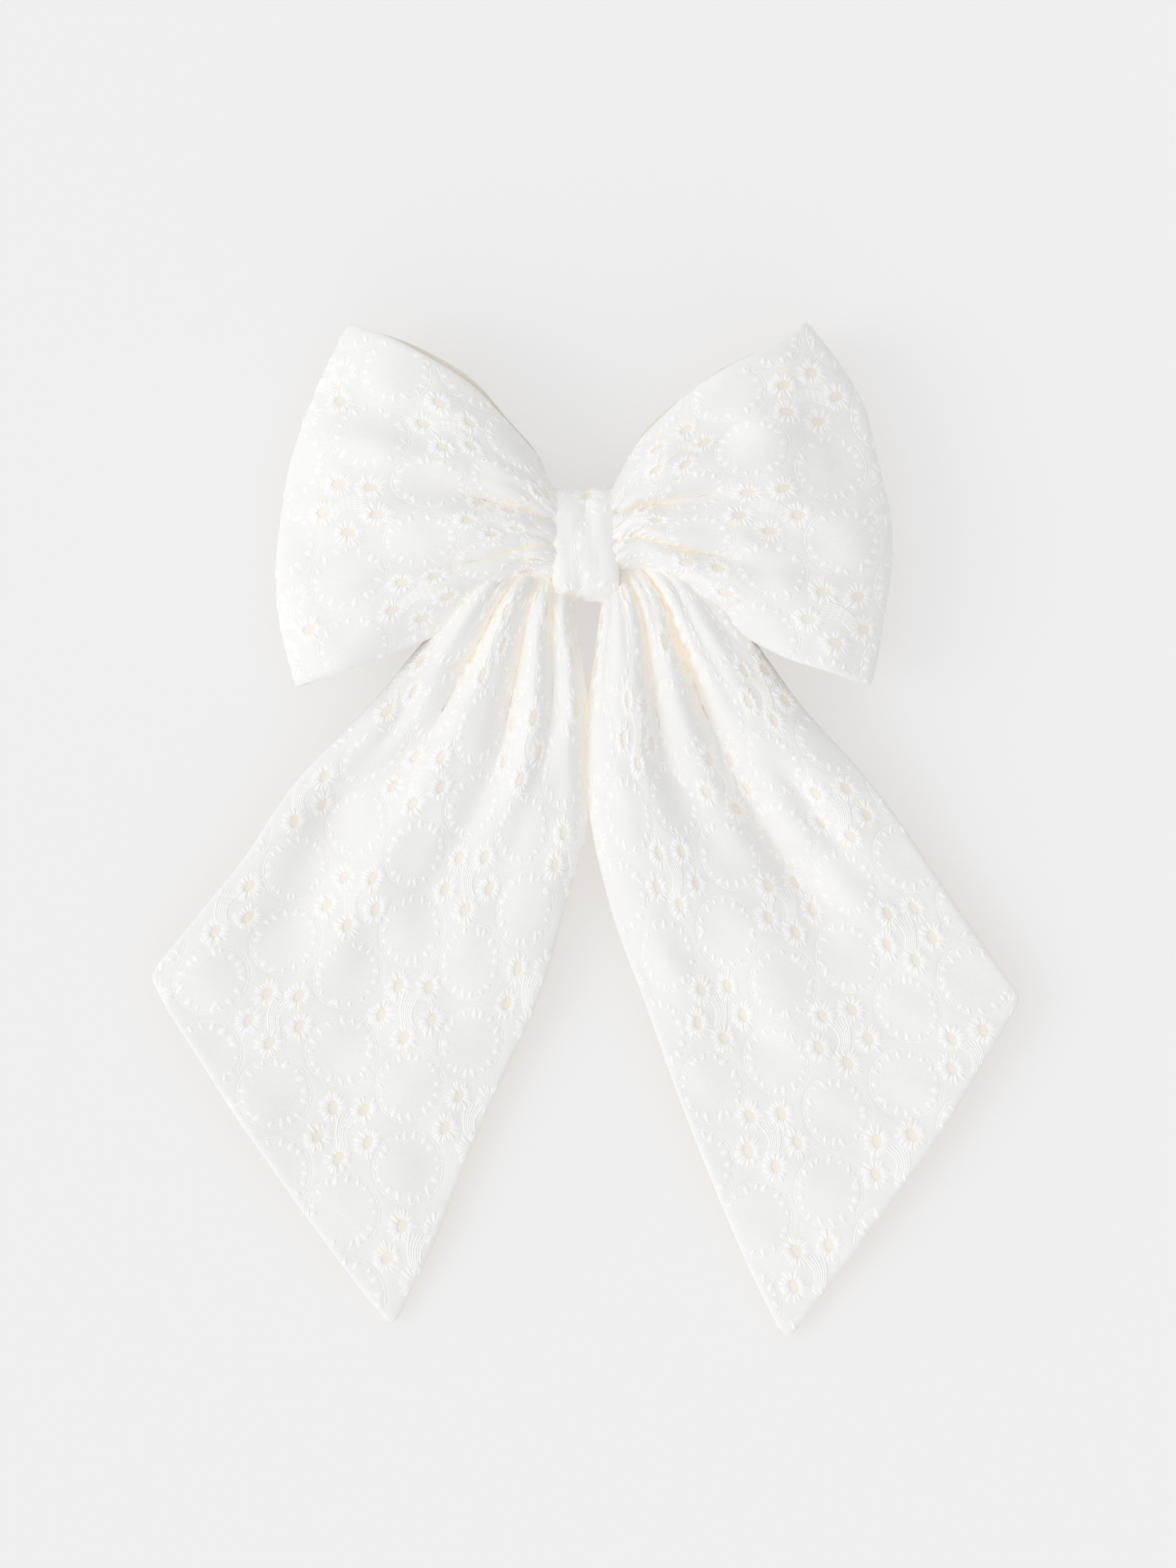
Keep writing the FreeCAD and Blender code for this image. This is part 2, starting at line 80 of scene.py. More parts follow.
# ---- Places taken from the frame -------------------------------------------------------------------------
BAND_LOW, BAND_HIGH = node_box("band_face")
WRAP_LOW, WRAP_HIGH = node_box("knot_wrap")
TAIL_LOW, TAIL_HIGH = node_box("left_tail_face")
HAIR_Y = cad_box[1].y / MM
TAIL_TOP_Z = TAIL_HIGH[2]
TAIL_LEAN = 0.068               # how much a tail leans to the hair, per length
TAIL_TOP_Y = TAIL_LOW[1] + 1.0
WAIST_BACK = WRAP_HIGH[1] - 6.4

# ---- Cloth -----------------------------------------------------------------------------------------------
SHEET = 0.55                    # half the thickness of a lined strip
FACE_THICKNESS = 0.16           # the lining lies this far under the face
SEAM_ROUND = 1.7                # how far from its edge a lined strip starts to thin
GRID = 0.6                      # spacing of the fine cloth mesh
LINING_GRID = 1.1
WEAVE = (0.27, 0.34)            # spacing of the threads along and across a strip
HOLE_MARGIN = 2.4               # eyelets keep this far from a seam
RIM_SINK = 0.03                 # an eyelet's rim ends this far above the lining

# ---- Table, light and camera, in metres ------------------------------------------------------------------
TABLE_REACH = 2.5
TABLE_GAP = 0.0002              # between the bow's back and the table
TABLE_BASE = (0.425, 0.423, 0.428)
TABLE_OPEN = (1.0, 0.995, 0.985)  # tint of the light it gives back, away from the cloth
TABLE_SHADE = (0.97, 0.91, 0.82)  # painted shade: tan of that light close beside the cloth
TABLE_GLOW = 0.46               # light the table gives back, which keeps the shadows on it pale
SKY_POWER = 0.885
SKY_LEAN = 0.28                 # how much brighter the room is on the window's side
WINDOW_POWER = 0.42
WINDOW_SPREAD = math.radians(30)
WINDOW_FROM = (-1.0, -0.75, -0.10)
SKY_FROM = (-0.95, 0.0, -0.30)
PAINTED_FOLD_CREAM = (0.99, 0.955, 0.885)  # painted light: the cloth's colour turns this cream in its folds
PAINTED_GLOW_COLOUR = (1.0, 0.91, 0.78)   # painted glow: emission in deep folds, for light coming through the thin cloth
# strength of that painted glow in the deepest folds
PAINTED_GLOW_POWER = 0.085
VIEW_HEIGHT = 0.3473            # height of what the camera takes in at the bow
VIEW_CENTRE = (0.0008, -0.0529)
VIEW_DISTANCE = 1.30
SENSOR = 36.0                   # the camera's sensor is this wide, in millimetres

# ---- Embroidery ------------------------------------------------------------------------------------------
REPEAT = 31.26                  # distance between flower centres; rows lie REPEAT * sqrt(3) / 2 apart
ROW = REPEAT * math.sqrt(3) / 2
PETALS = 5
PETAL_RADIUS = 6.45             # from a flower's centre to its eyelets
EYELET = (1.62, 1.12)           # half lengths of an eyelet's oval
RING_OUT = 3.45
RING_STITCHES = 21
MEDALLION = 8.2
MEDALLION_DOTS = 17


def smooth(x):
    """0 below 0, 1 above 1 and a smooth step between."""
    x = np.clip(x, 0.0, 1.0)
    return x * x * (3 - 2 * x)


def through(knots, values, x):
    """Smooth curve that takes values at knots, evaluated at x."""
    knots, values = np.asarray(knots, float), np.asarray(values, float)
    slopes = np.gradient(values, knots, axis=0)
    x = np.clip(x, knots[0], knots[-1])
    i = np.clip(np.searchsorted(knots, x, side="right") - 1, 0, len(knots) - 2)
    width = knots[i + 1] - knots[i]
    u = (x - knots[i]) / width
    if values.ndim == 2:
        u, width = u[..., None], width[..., None]
    start = values[i] * (1 + 2 * u) * (1 - u) ** 2 + slopes[i] * width * u * (1 - u) ** 2
    finish = values[i + 1] * u * u * (3 - 2 * u) - slopes[i + 1] * width * u * u * (1 - u)
    return start + finish


def outline(points, share):
    """Point at that share of the length of a smooth line through points."""
    points = np.asarray(points, float)
    lengths = np.concatenate([[0], np.cumsum(np.linalg.norm(np.diff(points, axis=0), axis=1))])
    return through(lengths / lengths[-1], points, share)


def ripple(a, b, length, seed, count=8):
    """Smooth random waviness of about unit height."""
    rng = np.random.default_rng(seed)
    total = np.zeros(np.broadcast(a, b).shape)
    for _ in range(count):
        angle, phase = rng.uniform(0, 2 * math.pi, 2)
        wave = length * rng.uniform(0.7, 1.6)
        total += np.sin(2 * math.pi * (a * math.cos(angle) + b * math.sin(angle)) / wave + phase)
    return total / math.sqrt(count)


def creases(across, valleys, along, settle):
    """Depth of the creases at `across`.

    Each valley is (place at the knot, place further out, depth, reach, width).
    """
    depth = 0.0
    for near, far, deep, reach, width in valleys:
        centre = far + (near - far) * np.exp(-along / settle)
        spread = width * (0.40 + 1.1 * smooth(along / reach))
        fade = np.exp(-(along / reach) ** 2) * (0.50 + 0.50 * smooth(along / 0.25 / reach))
        sharp = 1.9 - 0.75 * np.exp(-(along / reach / 0.5) ** 2)
        depth = depth + deep * fade * np.exp(-np.abs((across - centre) / spread) ** sharp)
    return depth


class Strip:
    """A lined strip of cloth.

    A subclass gives point(s, t), and its own grid and edge if it isn't a rectangle. edge(s, t) is the distance
    to the nearest seam.
    """

    side = 1
    medallions, eyelets = (), ()
    bare = (0.0, 0.0)               # a stretch of s without eyelets

    def grid(self, step):
        rows, columns = round(self.length / step), round(self.WIDTH / step)
        s = np.linspace(0, self.length, rows + 1)
        t = np.linspace(-self.WIDTH / 2, self.WIDTH / 2, columns + 1)
        return np.meshgrid(s, t, indexing="ij")

    def edge(self, s, t):
        return self.WIDTH / 2 - np.abs(t)

    def relief(self, s, t):
        """Height of the puckers that the embroidery pulls into the face."""
        height = np.zeros(np.shape(s))
        for at_s, at_t in self.medallions:
            near = np.nonzero((np.abs(s - at_s) < 10) & (np.abs(t - at_t) < 10))
            reach = np.hypot(s[near] - at_s, t[near] - at_t) / MEDALLION
            height[near] += 0.15 * smooth(1.06 - reach) - 0.15 * np.exp(-((reach - 1) / 0.055) ** 2)
        for at_s, at_t, _ in self.eyelets:
            near = np.nonzero((np.abs(s - at_s) < 5) & (np.abs(t - at_t) < 5))
            reach = np.hypot(s[near] - at_s, t[near] - at_t)
            height[near] += 0.14 * np.exp(-((reach - 2.2) / 0.9) ** 2)
        return height * np.clip(self.edge(s, t) / 2, 0, 1)

    def normal(self, s, t):
        step = 0.12
        along = self.point(s + step, t) - self.point(s - step, t)
        across = self.point(s, t + step) - self.point(s, t - step)
        out = np.cross(along, across) * self.side
        return out / np.maximum(np.linalg.norm(out, axis=-1, keepdims=True), 1e-9)

    def thickness(self, s, t):
        """Half thickness, thinning to nothing at the seams."""
        inset = np.clip(self.edge(s, t) / SEAM_ROUND, 0, 1)
        return SHEET * np.sqrt(np.clip(1 - (1 - inset) ** 2, 0, 1))

    def raised(self, s, t, height=0.0, layer=1):
        """Point on the face (layer 1) or the lining (layer -1), lifted by height."""
        lift = layer * self.thickness(s, t) + height
        if layer == 1:
            lift = lift + self.relief(s, t)
        return self.point(s, t) + self.normal(s, t) * lift[..., None]


class Loop(Strip):
    """One loop of the band: the strip runs out from the knot, round the outer fold and back behind."""

    WIDTH = 84.0
    REACH = 62.0
    STILL = 0.25                    # share of the depth that keeps its place where the loop flattens
    DEPTH = 17.2
    # Plan of the loop seen from above: (share of the reach, share of the depth from back to front).
    PLAN = [(0.0, 0.60), (0.05, 0.74), (0.14, 0.86), (0.32, 0.97), (0.54, 1.0), (0.76, 0.86), (0.92, 0.58),
            (1.0, 0.30), (0.955, 0.07), (0.78, 0.0), (0.50, 0.04), (0.22, 0.16), (0.0, 0.26)]

    def __init__(self, side, top, outer, bottom, valleys, dents, peek, seed):
        self.side, self.top, self.outer, self.bottom = side, top, outer, bottom
        self.valleys, self.dents, self.peek, self.seed = valleys, dents, peek, seed
        depth = BAND_HIGH[1] - BAND_LOW[1]
        plan = np.array(self.PLAN)
        steps = np.linalg.norm(np.diff(plan * [self.REACH, depth], axis=0), axis=1)
        self.knots = np.concatenate([[0], np.cumsum(steps)])
        self.length = self.knots[-1]
        fold = self.knots[self.PLAN.index((1.0, 0.30))]
        self.bare = (fold - 6, fold + 3)

    def flat(self, r, v):
        """Front view of the loop's layers: a patch between its four outline curves."""
        knot = [self.bottom[0], ((self.bottom[0][0] + self.top[0][0]) / 2, 1.0), self.top[0]]
        corners = [np.array(p) for p in (self.bottom[0], self.top[0], self.bottom[-1], self.top[-1])]
        r1, v1 = r[..., None], v[..., None]
        patch = (1 - v1) * outline(self.bottom, r) + v1 * outline(self.top, r)
        patch = patch + (1 - r1) * outline(knot, v) + r1 * outline(self.outer, v)
        return patch - ((1 - r1) * ((1 - v1) * corners[0] + v1 * corners[1])
                        + r1 * ((1 - v1) * corners[2] + v1 * corners[3]))

    def point(self, s, t):
        plan = through(self.knots, self.PLAN, s)
        r, q = np.clip(plan[..., 0], 0, 1.02), plan[..., 1]
        v = np.clip(t / self.WIDTH + 0.5, 0, 1)
        rear = smooth((s - self.length * 0.50) / 8.0)
        front = 1 - smooth((s - self.length * 0.42) / 12.0)
        flat = self.flat(r, v)
        hump = np.sin(math.pi * np.clip(r, 0, 1)) ** 0.8
        arch = 0.80 + 0.20 * (1 - (2 * v - 1) ** 2) - 0.50 * (1 - smooth(r / 0.75)) * np.abs(2 * v - 1) ** 4
        arch = arch - 0.30 * np.exp(-((r - 0.55) / 0.26) ** 2) * (1 - v) ** 5
        squeeze = 1 - 0.22 * hump * (2 * np.abs(v - 0.5)) ** 3
        y = BAND_HIGH[1] + (BAND_LOW[1] - BAND_HIGH[1]) * (q - self.STILL) * arch * squeeze
        y = y - self.STILL * self.DEPTH
        pull = np.exp(-r / 0.30)
        y = y + front * creases(v, self.valleys, r, 0.08)
        for at_r, at_v, deep, long, wide in self.dents:
            y = y + front * deep * np.exp(-((r - at_r) / long) ** 2 - ((v - at_v) / wide) ** 2)
        gather = np.sin(2 * math.pi * 7.5 * v + 1.3 * np.sin(9 * v + self.seed)) * np.exp(-r / 0.10)
        y = y + 0.22 * gather
        waves = 0.45 * ripple(s, t, 22, self.seed) + 0.17 * ripple(s, t, 9, self.seed + 1)
        y = y + waves * smooth(r / 0.15)
        y = y + 0.40 * pull * ripple(0.10 * s, t, 8.5, self.seed + 2)
        x = flat[..., 0] + 0.35 * ripple(s, t, 26, self.seed + 3) * smooth(r / 0.3)
        z = flat[..., 1] + rear * hump * (self.peek * smooth(v) + 1.1 * (1 - smooth(2 * v)))
        return np.stack([x, y, z], axis=-1)


class Tail(Strip):
    """One tail: it leaves the knot gathered, opens out and ends in a slanted cut."""

    WIDTH = 88.0
    CORNER = 2.6                    # a corner starts to round this far from the long edge

    def __init__(self, side, stations, inner, outer, cut, valleys, crown, dents, seed):
        self.side, self.stations, self.inner, self.outer = side, stations, inner, outer
        self.cut, self.valleys, self.crown, self.dents, self.seed = cut, valleys, crown, dents, seed
        self.length = cut[0] + 4

    def end(self, t):
        """Where the cut is, along the strip, with its corners turned and its middle a little full."""
        f = t / self.WIDTH + 0.5
        inner, outer = self.cut
        inset = np.clip((self.WIDTH / 2 - np.abs(t)) / self.CORNER, 0, 1)
        corner = self.CORNER * (1 - np.sqrt(1 - (1 - inset) ** 2)) * np.where(f < 0.5, 1.3, 0.8)
        return inner + (outer - inner) * f + 7.0 * f * (1 - f) - corner

    def grid(self, step):
        rows, columns = round(self.cut[0] / step), round(self.WIDTH / step)
        u, t = np.linspace(0, 1, rows + 1), np.linspace(-self.WIDTH / 2, self.WIDTH / 2, columns + 1)
        u, t = np.meshgrid(u, t, indexing="ij")
        return u * self.end(t), t

    def edge(self, s, t):
        slant = math.hypot(self.cut[0] - self.cut[1], self.WIDTH) / self.WIDTH
        return np.minimum(self.WIDTH / 2 - np.abs(t), (self.end(t) - s) / slant)

    def point(self, s, t):
        f = t / self.WIDTH + 0.5
        inner, outer = (through(self.stations, p, s) for p in (self.inner, self.outer))
        flat = inner + f[..., None] * (outer - inner)
        x, z = flat[..., 0], flat[..., 1]
        below = TAIL_TOP_Z - z
        y = np.where(below > 0, TAIL_TOP_Y + TAIL_LEAN * below, TAIL_TOP_Y)
        y = y + (WAIST_BACK - TAIL_TOP_Y) * smooth((z - TAIL_TOP_Z) / (-8 - TAIL_TOP_Z))
        high, where, spread = self.crown
        bulge = high * np.exp(-((s - where) / spread) ** 2) * smooth(s / 14) + 1.2
        drop = 1 - 0.60 * np.exp(-(s / 46) ** 2) * smooth(4 * f - 2.5)
        y = y - bulge * (1 - drop * np.abs(2 * f - 1) ** (4 + 5 * np.exp(-(s / 32) ** 2)))
        y = y + creases(f, self.valleys, s, 16)
        loose = smooth(s / 30)
        y = y + 0.40 * np.sin(2 * math.pi * 8 * f + self.seed) * np.exp(-s / 14)
        y = y - loose * (0.50 * ripple(s, t, 34, self.seed) + 0.20 * ripple(s, t, 13, self.seed + 1))
        for at_s, at_f, deep, long, wide in self.dents:
            y = y + deep * np.exp(-((s - at_s) / long) ** 2 - ((f - at_f) / wide) ** 2)
        y = y - 0.5 * np.exp(-(s / 60) ** 2) * ripple(0.14 * s, t, 11, self.seed + 2) * smooth(s / 12)
        wander = loose * 0.45 * ripple(s, t, 38, self.seed + 4)
        return np.stack([x + wander, y, z + 0.4 * wander * self.side], axis=-1)


class Wrap(Strip):
    """The knot: a folded strip once round the waist. s runs round it from the back, t runs across it."""

    seed = 41

    def __init__(self):
        self.centre = (WRAP_LOW + WRAP_HIGH) / 2
        self.half = (WRAP_HIGH - WRAP_LOW) / 2
        self.length = 2 * math.pi * (self.half[1] + self.half[2]) / 2
        self.WIDTH = 2 * self.half[0] - 0.4

    def point(self, s, t):
        angle = 2 * math.pi * s / self.length
        c, d = np.cos(angle), np.sin(angle)
        bend = (np.abs(c) ** 2.5 + np.abs(d) ** 2.5) ** (-1 / 2.5)
        top, low = np.clip(d, 0, 1) ** 1.5, np.clip(-d, 0, 1) ** 1.5
        place = -0.5 + 0.5 * d + 0.3 * np.sin(3 * angle)
        crease = (0.05 + 1.3 * top + 0.9 * low) * np.exp(-np.abs((t - place) / (1.2 + 0.6 * top)) ** 1.7)
        fold = 0.08 * np.exp(-((t + 3.6 - 1.2 * d) / 0.9) ** 2) * smooth(-d * 2 + 0.9)
        side = (np.abs(t) - self.WIDTH / 2 + 3.4) / 3.4
        roll = (0.8 + 0.9 * (t < 0)) * np.clip(side, 0, 1) ** 2
        dent = crease + fold + roll + 0.12 * ripple(s, 1.7 * t, 8, self.seed)
        dent = dent + 0.06 * ripple(0.5 * s, 2 * t, 4, self.seed + 1)
        y = self.centre[1] + c * bend * (self.half[1] - dent - 0.2)
        z = self.centre[2] + d * bend * (self.half[2] - dent * 0.8 - 0.2)
        x = self.centre[0] + t * (1 + 0.03 * np.abs(d))
        x = x + 0.35 * ripple(s, t, 13, self.seed + 2) * smooth(side + 0.8)
        return np.stack([x, y, z], axis=-1)


# ---- The cloth of this bow -------------------------------------------------------------------------------
LEFT_LOOP = Loop(
    -1,
    top=[(-5.2, 10.2), (-7.8, 13.4), (-10.4, 19.0), (-16.4, 26.4), (-25.6, 35.4), (-36.2, 42.3),
         (-52.0, 49.1)],
    outer=[(-63.7, -31.4), (-66.3, -20.8), (-67.4, -9.0), (-67.1, 3.0), (-65.6, 14.0), (-62.6, 24.6),
           (-57.0, 38.6), (-52.0, 49.1)],
    bottom=[(-5.2, -8.2), (-11.5, -8.6), (-19.4, -12.8), (-30.0, -18.6), (-45.2, -25.4), (-63.7, -31.4)],
    valleys=[(0.72, 0.575, 5.0, 0.66, 0.062), (0.46, 0.270, 4.6, 0.66, 0.052), (0.22, 0.07, 2.6, 0.34, 0.05)],
    dents=[(0.76, 0.77, 1.7, 0.24, 0.065), (0.68, 0.67, -1.2, 0.24, 0.050), (0.66, 0.33, 1.3, 0.26, 0.060),
           (0.62, 0.47, -0.9, 0.25, 0.070)],
    peek=1.8, seed=11)
RIGHT_LOOP = Loop(
    1,
    top=[(5.6, 10.2), (8.0, 15.6), (13.0, 23.6), (20.6, 31.2), (29.6, 37.9), (40.8, 43.8), (49.2, 49.1)],
    outer=[(63.3, -31.2), (66.0, -16.8), (67.5, -3.0), (66.7, 7.8), (64.3, 19.9), (60.5, 31.9), (55.2, 41.0),
           (49.2, 49.1)],
    bottom=[(5.6, -8.2), (12.4, -6.6), (20.6, -12.2), (32.8, -19.0), (43.2, -24.6), (52.6, -27.9),
            (63.3, -31.2)],
    valleys=[(0.80, 0.565, 6.0, 0.66, 0.062), (0.49, 0.290, 5.4, 0.66, 0.048), (0.16, 0.02, 2.0, 0.32, 0.05)],
    dents=[(0.50, 0.76, 1.8, 0.11, 0.050), (0.66, 0.74, -1.2, 0.13, 0.080), (0.86, 0.66, 1.5, 0.12, 0.110),
           (0.70, 0.40, 1.4, 0.22, 0.045), (0.62, 0.24, -1.0, 0.24, 0.070)],
    peek=0.8, seed=23)
LEFT_TAIL = Tail(
    -1,
    stations=[0, 12, 27.3, 42.9, 65.1, 90.7, 122.1, 165.1],
    inner=[(-3.2, -6.0), (-2.2, -16.0), (0.6, -38.0), (0.9, -57.7), (-3.5, -80.0), (-12.5, -106.0),
           (-24.6, -134.5), (-42.6, -174.7)],
    outer=[(-10.5, 1.0), (-22.5, -7.0), (-35.2, -20.4), (-46.0, -33.9), (-62.6, -50.6), (-76.6, -70.4),
           (-96.8, -95.2), (-122.4, -128.7)],
    cut=(165.1, 122.1),
    valleys=[(0.28, 0.22, 5.4, 42, 0.060), (0.50, 0.43, 6.0, 66, 0.065), (0.70, 0.735, 6.0, 70, 0.065)],
    crown=(7.0, 24, 42),
    dents=[(45, 0.87, 2.6, 11, 0.045), (70, 0.83, 3.2, 17, 0.070), (96, 0.79, 2.8, 16, 0.090),
           (86, 0.62, -1.4, 20, 0.080), (112, 0.45, 1.2, 20, 0.120)],
    seed=5)
RIGHT_TAIL = Tail(
    1,
    stations=[0, 12, 27.6, 43.9, 65.0, 92.3, 126.1, 169.7],
    inner=[(4.6, -6.0), (3.6, -16.6), (0.6, -38.0), (0.9, -57.7), (5.4, -80.0), (15.0, -106.0),
           (26.6, -137.1), (44.9, -178.0)],
    outer=[(11.0, 2.0), (23.5, -5.6), (36.0, -20.0), (47.0, -34.2), (61.2, -50.2), (77.5, -72.0),
           (97.3, -100.4), (121.8, -134.8)],
    cut=(169.7, 126.1),
    valleys=[(0.36, 0.42, 6.6, 62, 0.062), (0.62, 0.61, 7.6, 78, 0.070)],
    crown=(7.2, 24, 44),
    dents=[(73, 0.60, 2.6, 14, 0.055), (67, 0.79, 2.6, 14, 0.050), (81, 0.67, 1.8, 9, 0.080),
           (86, 0.41, -1.8, 20, 0.075), (98, 0.24, 1.4, 22, 0.100)],
    seed=8)
WRAP = Wrap()


# ---- Embroidery: eyelets, satin rings, fans, medallions and running stitches -----------------------------
def polar(centre, radius, angle):
    """Points round a centre."""
    return np.stack([centre[0] + radius * np.cos(angle), centre[1] + radius * np.sin(angle)], axis=-1)


def stitch_rows(starts, ends, width0, width1, height):
    """Rows of (start, end, width at start, width at end, height) for a set of stitches."""
    n = len(starts)
    columns = [np.broadcast_to(np.asarray(c, float), (n,)) for c in (width0, width1, height)]
    return np.column_stack([starts, ends] + columns)


def eyelet_ring(centre, tilt, rng):
    """Satin stitches that radiate round an oval eyelet, with ragged outer ends."""
    n = RING_STITCHES
    angle = np.arange(n) / n * 2 * math.pi + rng.uniform(0, 0.3) + rng.normal(0, 0.09, n)
    local = np.stack([EYELET[0] * np.cos(angle), EYELET[1] * np.sin(angle)], axis=-1)
    reach = RING_OUT * rng.uniform(0.78, 1.16, n)
    out = np.stack([1.04 * reach * np.cos(angle), 0.96 * reach * np.sin(angle)], axis=-1)
    turn = np.array([[math.cos(tilt), math.sin(tilt)], [-math.sin(tilt), math.cos(tilt)]])
    starts, ends = centre + (local * 0.96) @ turn, centre + out @ turn
    return stitch_rows(starts, ends, 0.32, rng.uniform(0.40, 0.62, n), rng.uniform(0.10, 0.25, n))


def fan(centre, tilt, rng):
    """Shell of curved satin ribs in the middle of a flower. It closes towards one petal."""
    along = np.array([math.cos(tilt), math.sin(tilt)])
    across = np.array([-along[1], along[0]])
    rows = []
    for place in np.linspace(-1, 1, 6):
        bend = 1.1 * (1 - 0.4 * place)
        u = np.linspace(-1, 1, 6)[:, None]
        path = centre + along * u * 3.5 + across * (place * (1.8 - 0.45 * u) + bend * (1 - u * u) - 0.4)
        overlap = np.diff(path, axis=0) * 0.2
        rows.append(stitch_rows(path[:-1] - overlap, path[1:] + overlap, 0.30, 0.30, rng.uniform(0.16, 0.24)))
    return np.concatenate(rows)


def medallion(centre, rng):
    """Circle of running stitches with small satin leaves just inside it."""
    start = rng.uniform(0, 1)
    n = MEDALLION_DOTS
    angle = start + np.arange(n) / n * 2 * math.pi + rng.normal(0, 0.05, n)
    lean = rng.normal(0, 0.25, n)
    size = rng.uniform(0.7, 1.25, n)
    leaves = stitch_rows(polar(centre, MEDALLION - 0.4 - 1.7 * size, angle + lean * 0.4),
                         polar(centre, MEDALLION - 0.30, angle), 0.68 * size, 0.52 * size, 0.20)
    count = 22
    turn = start + np.arange(count) / count * 2 * math.pi
    half = math.pi / count * 0.97
    line = stitch_rows(polar(centre, MEDALLION, turn - half), polar(centre, MEDALLION, turn + half),
                       0.20, 0.20, 0.19)
    return [leaves, line]


def embroider(strip, origin, twist, tilt, seed):
    """Lays the repeating pattern on a strip and returns its stitches.

    twist turns the rows of the pattern, and tilt turns the flowers.
    """
    rng = np.random.default_rng(seed)
    eyelets, medallions, rows = [], [], []
    c, d = math.cos(twist), math.sin(twist)
    count = range(-9, 10)
    for i, j in itertools.product(count, count):
        u, v = origin[0] + (i + 0.5 * (j % 2)) * REPEAT, origin[1] + j * ROW
        centre = np.array([u * c - v * d, u * d + v * c])
        if not (-14 < centre[0] < strip.length + 14 and abs(centre[1]) < strip.WIDTH / 2 + 22):
            continue
        for k in range(PETALS):
            at = polar(centre, PETAL_RADIUS + rng.normal(0, 0.2), tilt + 2 * math.pi * k / PETALS)
            eyelets.append((at[0], at[1], rng.normal(0, 0.2)))
            rows.append(eyelet_ring(at, eyelets[-1][2], rng))
        rows.append(fan(centre, tilt, rng))
        for step, gap in ((REPEAT / 2, ROW / 3), (0, 2 * ROW / 3)):
            medallions.append(centre + [step * c - gap * d, step * d + gap * c])
            rows += medallion(medallions[-1], rng)
    rows, eyelets = np.concatenate(rows), np.array(eyelets)
    inside = (rows[:, 0] > 1.5) & (rows[:, 0] < strip.length - 1.5)
    for k in (0, 2):
        inside &= strip.edge(rows[:, k], rows[:, k + 1]) > 0.25
    clear = strip.edge(eyelets[:, 0], eyelets[:, 1]) > HOLE_MARGIN
    clear &= (eyelets[:, 0] > 6) & (eyelets[:, 0] < strip.length - 3)
    clear &= (eyelets[:, 0] < strip.bare[0]) | (eyelets[:, 0] > strip.bare[1])
    strip.medallions, strip.eyelets = medallions, eyelets[clear]
    return rows[inside]


# ---- Meshes ----------------------------------------------------------------------------------------------
def make_object(name, points, faces, material, cloth):
    """Mesh object from points in millimetres. cloth gives each point's place on the cloth, for the weave."""
    mesh = bpy.data.meshes.new(name)
    mesh.from_pydata((points * MM).tolist(), [], faces)
    layer = mesh.attributes.new("cloth", "FLOAT_VECTOR", "POINT")
    places = np.column_stack([cloth, np.zeros(len(cloth))])
    layer.data.foreach_set("vector", places.astype(np.float32).ravel())
    mesh.validate()
    mesh.polygons.foreach_set("use_smooth", [True] * len(mesh.polygons))
    mesh.materials.append(material)
    made = bpy.data.objects.new(name, mesh)
    bpy.context.scene.collection.objects.link(made)
    return made


def grid_faces(rows, columns, flipped):
    """Quads of a grid of points."""
    index = np.arange(rows * columns).reshape(rows, columns)
    corners = [index[:-1, :-1], index[1:, :-1], index[1:, 1:], index[:-1, 1:]]
    quads = np.stack([c.ravel() for c in corners], axis=-1)
    return quads[:, ::-1] if flipped else quads


def punch(s, t, eyelets):
    """Moves the grid's points near each eyelet onto its rim. Returns the grid and which points were moved."""
    s, t = s.ravel().copy(), t.ravel().copy()
    opened = np.zeros(len(s), bool)
    for at_s, at_t, tilt in eyelets:
        near = np.nonzero((np.abs(s - at_s) < 3) & (np.abs(t - at_t) < 3))[0]
        ds, dt = s[near] - at_s, t[near] - at_t
        p = (ds * math.cos(tilt) + dt * math.sin(tilt)) / EYELET[0]
        q = (dt * math.cos(tilt) - ds * math.sin(tilt)) / EYELET[1]
        reach = np.hypot(p, q)
        rim = reach < 1.2
        at, scale = near[rim], 1 / np.maximum(reach[rim], 0.05)
        p, q = p[rim] * scale * EYELET[0], q[rim] * scale * EYELET[1]
        s[at] = at_s + p * math.cos(tilt) - q * math.sin(tilt)
        t[at] = at_t + p * math.sin(tilt) + q * math.cos(tilt)
        opened[at] = True
    return s, t, opened


def lining_sheets(name, strip, material):
    """Lining of a strip: the layer that shows through the eyelets, and the one on the back."""
    s, t = strip.grid(LINING_GRID)
    rows, columns = s.shape
    s, t = s.ravel(), t.ravel()
    under = np.minimum(FACE_THICKNESS, 2 * strip.thickness(s, t))
    points = np.concatenate([strip.raised(s, t, -under, 1), strip.raised(s, t, 0.0, -1)])
    front = grid_faces(rows, columns, flipped=strip.side < 0)
    back = grid_faces(rows, columns, flipped=strip.side > 0) + rows * columns
    cloth = np.column_stack([s, t])
    faces = np.concatenate([front, back]).tolist()
    return make_object(name, points, faces, material, np.concatenate([cloth, cloth]))


def face_sheet(name, strip, material):
    """Face of a lined strip, with its eyelets cut out."""
    s, t = strip.grid(GRID)
    rows, columns = s.shape
    quads = grid_faces(rows, columns, flipped=strip.side < 0)
    s, t, opened = punch(s, t, strip.eyelets)
    quads = quads[~opened[quads].all(axis=1)]
    used, quads = np.unique(quads, return_inverse=True)
    s, t = s[used], t[used]
    points = strip.raised(s, t, np.where(opened[used], RIM_SINK - FACE_THICKNESS, 0.0))
    return make_object(name, points, quads.reshape(-1, 4).tolist(), material, np.column_stack([s, t]))


